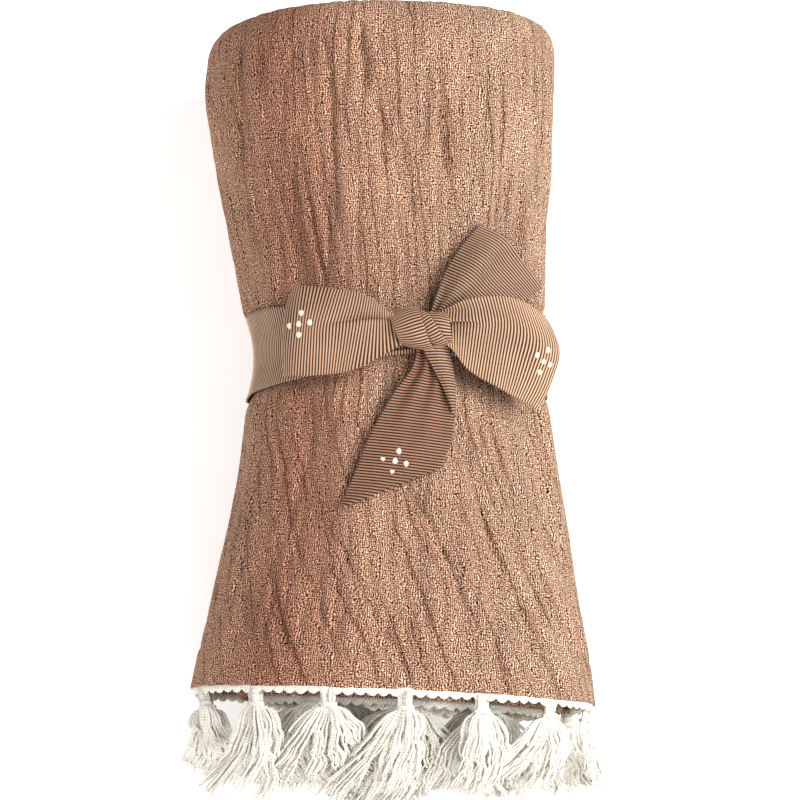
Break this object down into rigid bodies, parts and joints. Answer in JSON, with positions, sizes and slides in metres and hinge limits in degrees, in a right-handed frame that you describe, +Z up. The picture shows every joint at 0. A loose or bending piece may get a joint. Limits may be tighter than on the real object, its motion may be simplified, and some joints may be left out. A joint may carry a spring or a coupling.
{
  "type": "rolled swaddle blanket",
  "caption": "Crinkled muslin swaddle blanket folded and rolled, drawn in at the waist by a ribbon bow, with a scalloped tasselled hem at one end",
  "frame": {"origin": "middle of the footprint of the whole part, tassels included, on the surface that the roll lies on", "axes": "+Y along the roll towards its folded head, away from the tassels; +Z up through the bow; +X to the right seen from above with the tassels nearest"},
  "size_m": [0.195, 0.3672, 0.116],
  "materials": {
    "muslin": "crinkled layered cotton muslin, terracotta rose, matte",
    "cotton_trim": "soft twisted cotton yarn, natural cream, matte",
    "ribbon": "ribbed grosgrain ribbon, taupe, slight sheen"
  },
  "bodies": {
    "root": {"blanket_roll": "muslin", "hem_edging": "cotton_trim", "ribbon_tie": "ribbon", "tassel_01": "cotton_trim", "tassel_02": "cotton_trim", "tassel_03": "cotton_trim", "tassel_04": "cotton_trim", "tassel_05": "cotton_trim", "tassel_06": "cotton_trim", "tassel_07": "cotton_trim", "tassel_08": "cotton_trim", "tassel_09": "cotton_trim", "tassel_10": "cotton_trim", "tassel_11": "cotton_trim", "tassel_12": "cotton_trim", "tassel_13": "cotton_trim", "tassel_14": "cotton_trim", "tassel_15": "cotton_trim", "tassel_16": "cotton_trim", "tassel_17": "cotton_trim", "tassel_18": "cotton_trim", "tassel_19": "cotton_trim", "tassel_20": "cotton_trim", "tassel_21": "cotton_trim", "tassel_22": "cotton_trim", "tassel_23": "cotton_trim"}
  },
  "joints": []
}
